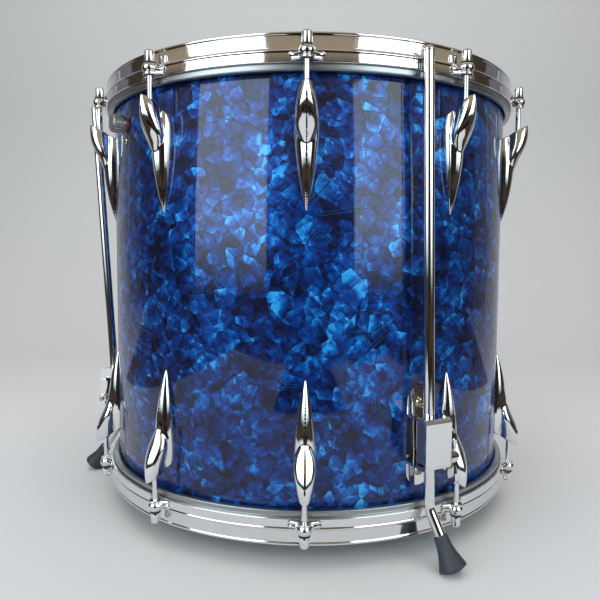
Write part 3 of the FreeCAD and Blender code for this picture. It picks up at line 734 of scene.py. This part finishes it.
# ---------------------------------------------------------------- legs and feet
LEGS = {
    "front": (27.1, 247.0, 0.0, -1.5, 29.0, 15.0, 211.2, -189.0),
    "left": (-92.5, 249.3, 3.2, 0.0, 38.0, -14.0, 217.6, -180.0),
    "rear": (153.0, 247.0, 0.8, 0.6, 29.0, 6.0, 212.0, -187.0),
}
LEG_D, LEG_BEND_R, CLAMP_S, FOOT_L, FOOT_DOME, FOOT_CUT = 10.1, 22.0, -132.0, 33.0, 22.0, 0.25
for name, (th, r_axis, lean_r, lean_t, bend, swivel, leg_top, bend_s) in LEGS.items():
    body = "leg_assembly_" + name
    up = Vector((math.tan(math.radians(lean_r)), math.tan(math.radians(lean_t)), 1.0)).normalized()
    at = Vector((r_axis, 0, CLAMP_S))
    on = lambda s: at + up * ((s - CLAMP_S) / up.z)
    p_top, p_bend = on(leg_top), on(bend_s)
    down = -up
    out = (Vector((1, 0, 0)) - up * up.x).normalized()
    w = math.radians(swivel)
    out = out * math.cos(w) + up.cross(out) * math.sin(w)
    centre = p_bend + out * LEG_BEND_R
    a = math.radians(bend)
    low_dir = down * math.cos(a) + out * math.sin(a)
    p_low = centre - out * (LEG_BEND_R * math.cos(a)) + down * (LEG_BEND_R * math.sin(a))
    z_c = -MID + FOOT_DOME - FOOT_CUT
    sole = p_low + low_dir * ((z_c - p_low.z) / low_dir.z)
    foot_top = sole - low_dir * (FOOT_L - FOOT_DOME)
    leg_end = foot_top + low_dir * 23.0
    path = [p_top + (p_bend - p_top) * t for t in (0.0, 0.004, 0.25, 0.5, 0.75, 0.98)]
    for i in range(0, 15):
        b_ = a * i / 14
        path.append(centre - out * (LEG_BEND_R * math.cos(b_)) + down * (LEG_BEND_R * math.sin(b_)))
    path += [p_low.lerp(leg_end, 0.05), leg_end]
    R3 = Matrix((er(th), et(th), Vector((0, 0, 1)))).transposed()
    off = Vector((0, 0, MID))
    to = lambda p: R3 @ p + off
    bm = bmesh.new()
    tube(bm, [to(p) for p in path], LEG_D / 2, 40)
    mesh_obj("leg_rod_" + name, bm, M["chrome_leg"], body, ("leg_" + name,), 40)
    # foot
    prof = catmull([(0, 6.1), (0.8, 6.5), (4, 6.7), (10, 7.35), (16, 8.7), (22, 10.6), (26.5, 12.2), (28.2, 12.65)], 24)
    prof = [(0.0, 0.0), (LEG_D / 2, 0.0), (5.8, 0.0)] + [(r, z) for z, r in prof] + [(12.78, 28.75)]
    for i in range(10, -1, -1):
        b_ = math.radians(34.9 * i / 10)
        prof.append((FOOT_DOME * math.sin(b_), FOOT_L - FOOT_DOME + FOOT_DOME * math.cos(b_)))
    q = (R3 @ low_dir).to_track_quat("Z", "Y").to_matrix().to_4x4()
    q.translation = to(foot_top) * MM
    bm = bmesh.new()
    lathe(bm, prof, 64, False, q)
    for v_ in bm.verts:
        if v_.co.z < 0.0:
            v_.co.z = 0.0
    mesh_obj("foot_rubber_" + name, bm, M["rubber"], body, ("foot_" + name,), 30)
    # cap
    q = (R3 @ up).to_track_quat("Z", "Y").to_matrix().to_4x4()
    q.translation = to(p_top) * MM
    bm = bmesh.new()
    lathe(bm, [(0, 0), (5.45, 0), (5.6, 0.15), (5.6, 1.0), (4.9, 1.2), (4.9, 1.75), (5.15, 1.8), (5.0, 2.5), (4.75, 3.2), (4.1, 3.9), (3.1, 4.5), (1.7, 4.95), (0, 5.1)], 48, False, q)
    mesh_obj("leg_cap_" + name, bm, M["chrome_leg"], body, ("cap_" + name,), 50)

# clamp jaws: block with coarse slanted teeth along its outer edge, and the stud
for name, (th, r_axis, lean_r, lean_t, bend, swivel, leg_top, bend_s) in LEGS.items():
    push = r_axis - 247.0
    R4 = Matrix((er(th), et(th), Vector((0, 0, 1)))).transposed().to_4x4()
    R4.translation = Vector((0, 0, MID * MM))

    def block(bm, x0, x1, y0, y1, z0, z1, shear=0.0):
        skin(bm, [[(x0, y, z0 - shear), (x1, y, z0), (x1, y, z1), (x0, y, z1 - shear)] for y in (y0, y1)])

    bm = bmesh.new()
    block(bm, 241.0 + push, 258.3 + push, -9.3, -1.2, -151.4, -113.6)
    ob = plain("jaw_block_" + name, bm)
    bm = bmesh.new()
    up = Vector((math.tan(math.radians(lean_r)), math.tan(math.radians(lean_t)), 1.0)).normalized()
    at = Vector((r_axis, 0, CLAMP_S))
    tube(bm, [at - up * 60, at + up * 60], LEG_D / 2 + 0.05, 40)
    boolean(ob, plain("jaw_bore", bm), "DIFFERENCE")
    bm = bmesh.new()
    bm.from_mesh(ob.data)
    drop_obj(ob)
    z_ = -150.2
    while z_ + 1.15 < -113.7:
        block(bm, 253.6 + push, 258.3 + push, -10.9, -9.2, z_, z_ + 1.15, 1.1)
        z_ += 2.1
    tube(bm, [(255.9 + push, -6.0, -146.0), (255.9 + push, 26.0, -146.0), (255.9 + push, 26.6, -146.0)], [2.5, 2.5, 2.1], 28)
    bmesh.ops.transform(bm, matrix=R4, verts=bm.verts)
    mesh_obj("clamp_jaw_" + name, bm, M["zinc"], "jaw_body_" + name, ("jaw_" + name,), 30)

# ---------------------------------------------------------------- CAD nodes kept
keep = {
    "shell": ("wood", 30), "head_film_top": ("batter", 30), "head_film_bottom": ("reso", 30),
    "lug_nuts": ("brass", 30), "lug_screws": ("zinc", 30), "rod_washers": ("washer", 30),
    "bracket_screws": ("screwhead", 30), "bracket_nuts": ("zinc", 30), "damper_knob": ("zinc", 30), "damper_arm": ("zinc", 30),
    "damper_base": ("zinc", 30), "damper_washer": ("fibre", 30), "damper_screw": ("screwhead", 30),
}
for n in ("front", "left", "rear"):
    keep["bracket_" + n] = ("chrome", 24)
    keep["wing_" + n] = ("chrome", 30)
for nd, (mt, ang) in keep.items():
    paint(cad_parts[nd], M[mt], ang)

# felt pad: a soft round pad with a pressed edge
bm = bmesh.new()
pad = [(0.0, 10.25), (15.6, 10.25), (16.6, 10.7), (17.0, 11.8), (17.05, 15.0), (17.0, 19.6), (16.5, 21.2), (15.2, 22.1), (12.0, 22.35), (0.0, 22.4)]
lathe(bm, pad, 56, False, frame_at(-54.0, 189.0, 69.0, 168.4))
felt_ob = mesh_obj("damper_pad_soft", bm, M["felt"], "damper", ("damper_felt",), 50)

# ---------------------------------------------------------------- stage
def flat_mat(name, col, rough=0.7, emit=0.0, gradient=None):
    m = bpy.data.materials.new(name)
    nt, b = clear(m)
    b.inputs["Base Color"].default_value = (*col, 1)
    b.inputs["Roughness"].default_value = rough
    if emit:
        b.inputs["Base Color"].default_value = (0, 0, 0, 1)
        b.inputs["Specular IOR Level"].default_value = 0.0
        b.inputs["Emission Color"].default_value = (*col, 1)
        if gradient:
            tc = nt.nodes.new("ShaderNodeTexCoord")
            sp = nt.nodes.new("ShaderNodeSeparateXYZ")
            nt.links.new(tc.outputs["Object"], sp.inputs[0])
            r = nt.nodes.new("ShaderNodeMapRange")
            r.inputs["From Min"].default_value = gradient[0]
            r.inputs["From Max"].default_value = gradient[1]
            r.inputs["To Min"].default_value = gradient[2] * emit
            r.inputs["To Max"].default_value = emit
            nt.links.new(sp.outputs[2], r.inputs["Value"])
            nt.links.new(r.outputs[0], b.inputs["Emission Strength"])
        else:
            b.inputs["Emission Strength"].default_value = emit
    return m


def stage_quad(name, corners, mat):
    me = bpy.data.meshes.new(name)
    me.from_pydata([tuple(c) for c in corners], [], [(0, 1, 2, 3)])
    ob = bpy.data.objects.new(name, me)
    scene.collection.objects.link(ob)
    me.materials.append(mat)
    return ob


# seamless floor and backdrop
bm = bmesh.new()
prof = [(-2.6, 0.0), (-1.0, 0.0), (0.9, 0.0)]
for i in range(1, 13):
    a_ = math.radians(90 * i / 12)
    prof.append((0.9 + 0.9 * math.sin(a_), 0.9 - 0.9 * math.cos(a_)))
prof.append((1.8, 3.2))
cols = [-3.0, -1.0, 1.0, 3.0]
grid = [[bm.verts.new((x, y, z)) for x in cols] for y, z in prof]
for r0, r1 in zip(grid, grid[1:]):
    for i in range(len(cols) - 1):
        bm.faces.new((r0[i], r0[i + 1], r1[i + 1], r1[i]))
me = bpy.data.meshes.new("sweep")
bm.to_mesh(me)
bm.free()
sweep = bpy.data.objects.new("sweep", me)
scene.collection.objects.link(sweep)
for p in me.polygons:
    p.use_smooth = True
me.materials.append(flat_mat("sweep_paper", (0.525, 0.53, 0.545), 0.9))


def dir_pt(az, dist, z):
    """A point at a bearing (from the front, to the right) and distance from the axis."""
    v = er(az) * dist
    return Vector((v.x, v.y, z))


def panel(name, az0, az1, dist, z0, z1, mat):
    p = [dir_pt(az0, dist, z0), dir_pt(az1, dist, z0), dir_pt(az1, dist, z1), dir_pt(az0, dist, z1)]
    return stage_quad(name, p, mat)


brown = flat_mat("room_brown", (0.36, 0.29, 0.205), emit=1.0, gradient=(0.78, 1.20, 0.14))
brown_low = flat_mat("room_low", (0.055, 0.042, 0.030), emit=1.0)
dusk = flat_mat("room_dusk", (0.16, 0.16, 0.18), emit=1.0)
black = flat_mat("room_black", (0.012, 0.010, 0.010), emit=1.0)
ceiling = flat_mat("room_ceiling", (0.42, 0.36, 0.28), emit=1.0)
white_l = flat_mat("soft_window_left", (0.84, 0.97, 1.0), emit=4.0, gradient=(0.12, 0.62, 0.0))
white_r = flat_mat("soft_window_right", (0.84, 0.97, 1.0), emit=4.0, gradient=(0.12, 0.62, 0.0))
# the room behind the camera
for i in range(12):
    a0 = -90 + 15 * i
    panel("room_%d" % i, a0, a0 + 15.0, 2.55, 0.16, 2.6, brown)
    panel("room_low_%d" % i, a0, a0 + 15.0, 2.50, -0.3, 0.17, brown_low)
for sg in (-1, 1):
    panel("room_side_%d" % (sg + 1), sg * 90.0, sg * 104.0, 2.55, -0.3, 2.6, brown_low)
    panel("room_far_%d" % (sg + 1), sg * 104.0, sg * 118.0, 2.55, -0.3, 2.6, dusk)
panel("window_left", -60, -20.5, 2.1, 0.12, 1.9, white_l)
panel("window_right", 24, 56, 2.1, 0.12, 1.62, white_r)
panel("figure_a", -7, 1.5, 1.35, 0.0, 0.62, black)
panel("figure_b", -4.5, -1, 1.34, 0.6, 0.80, black)
panel("figure_c", 3.5, 9, 1.6, 0.0, 0.52, black)
panel("mullion_a", -42, -40.5, 2.05, 0.12, 1.9, brown_low)
panel("cabinet_a", 10, 18, 2.3, 0.0, 0.45, black)
panel("cabinet_b", -18.5, -11, 2.3, 0.0, 0.40, black)
panel("cabinet_c", 64, 74, 2.3, 0.0, 0.8, black)
panel("cabinet_d", -78, -66, 2.3, 0.0, 0.7, black)
stage_quad("ceiling", [(-2.4, -2.6, 2.6), (2.4, -2.6, 2.6), (2.4, 0.6, 2.6), (-2.4, 0.6, 2.6)], ceiling)
stage_quad("boards", [(-2.6, -2.6, 0.004), (2.6, -2.6, 0.004), (2.6, -0.86, 0.004), (-2.6, -0.86, 0.004)], brown_low)
for sg in (-1, 1):
    stage_quad("boards_side_%d" % (sg + 1), [(sg * 0.64, -0.86, 0.004), (sg * 2.6, -0.86, 0.004), (sg * 2.6, 0.30, 0.004), (sg * 0.64, 0.30, 0.004)], brown_low)
stage_quad("mat_front", [(-0.13, -0.86, 0.006), (0.16, -0.86, 0.006), (0.16, -0.53, 0.006), (-0.13, -0.53, 0.006)], black)
for i, (x0, x1, y0, y1) in enumerate([(-0.30, 0.22, -1.25, -0.86), (0.34, 0.9, -1.15, -0.80), (-0.95, -0.42, -1.3, -0.9), (-0.1, 0.1, -0.99, -0.90)]):
    stage_quad("mat_%d" % i, [(x0, y0, 0.008), (x1, y0, 0.008), (x1, y1, 0.008), (x0, y1, 0.008)], black)


def area(name, loc, target, size, power, col=(1, 1, 1), shape="RECTANGLE", size_y=None):
    ld = bpy.data.lights.new(name, "AREA")
    ld.energy = power
    ld.color = col
    ld.shape = shape
    ld.size = size
    ld.size_y = size_y or size
    ob = bpy.data.objects.new(name, ld)
    scene.collection.objects.link(ob)
    ob.location = loc
    ob.visible_glossy = False
    d = Vector(target) - Vector(loc)
    ob.rotation_euler = d.to_track_quat("-Z", "Y").to_euler()
    return ob


area("overhead", (0.0, -0.1, 2.3), (0, 0, 0), 2.6, 46.0, (1.0, 1.0, 1.0))
area("front_fill", (0.0, -2.2, 1.3), (0, 0, 0.25), 1.6, 22.0)
world = bpy.data.worlds.new("studio")
scene.world = world
world.use_nodes = True
bg = world.node_tree.nodes["Background"]
bg.inputs[0].default_value = (0.62, 0.64, 0.68, 1)
bg.inputs[1].default_value = 0.75

# ---------------------------------------------------------------- camera
f_px, D, yaw, pitch, roll = 597.36, 3.081 * 244.5, math.radians(-0.688), math.radians(4.158), math.radians(0.273)
spin = Matrix.Rotation(math.radians(0.3), 3, "Z")
right = Vector((math.cos(yaw), -math.sin(yaw), 0))
fwd0 = Vector((math.sin(yaw), math.cos(yaw), 0))
fwd = fwd0 * math.cos(pitch) - Vector((0, 0, 1)) * math.sin(pitch)
upv = fwd0 * math.sin(pitch) + Vector((0, 0, 1)) * math.cos(pitch)
r2 = right * math.cos(roll) + upv * math.sin(roll)
u2 = upv * math.cos(roll) - right * math.sin(roll)
cols3 = [spin @ r2, spin @ u2, -(spin @ fwd)]
m = Matrix((cols3[0], cols3[1], cols3[2])).transposed().to_4x4()
m.translation = spin @ Vector((0, -D * MM, 0)) + Vector((0, 0, (MID + 0.1415 * 244.5) * MM))
cam_d = bpy.data.cameras.new("camera")
cam_d.sensor_width = 36.0
cam_d.lens = f_px / 600.0 * 36.0
cam_d.clip_start = 0.02
cam = bpy.data.objects.new("camera", cam_d)
cam.matrix_world = m
scene.collection.objects.link(cam)
scene.camera = cam
scene.view_settings.view_transform = "Standard"
scene.view_settings.look = "None"
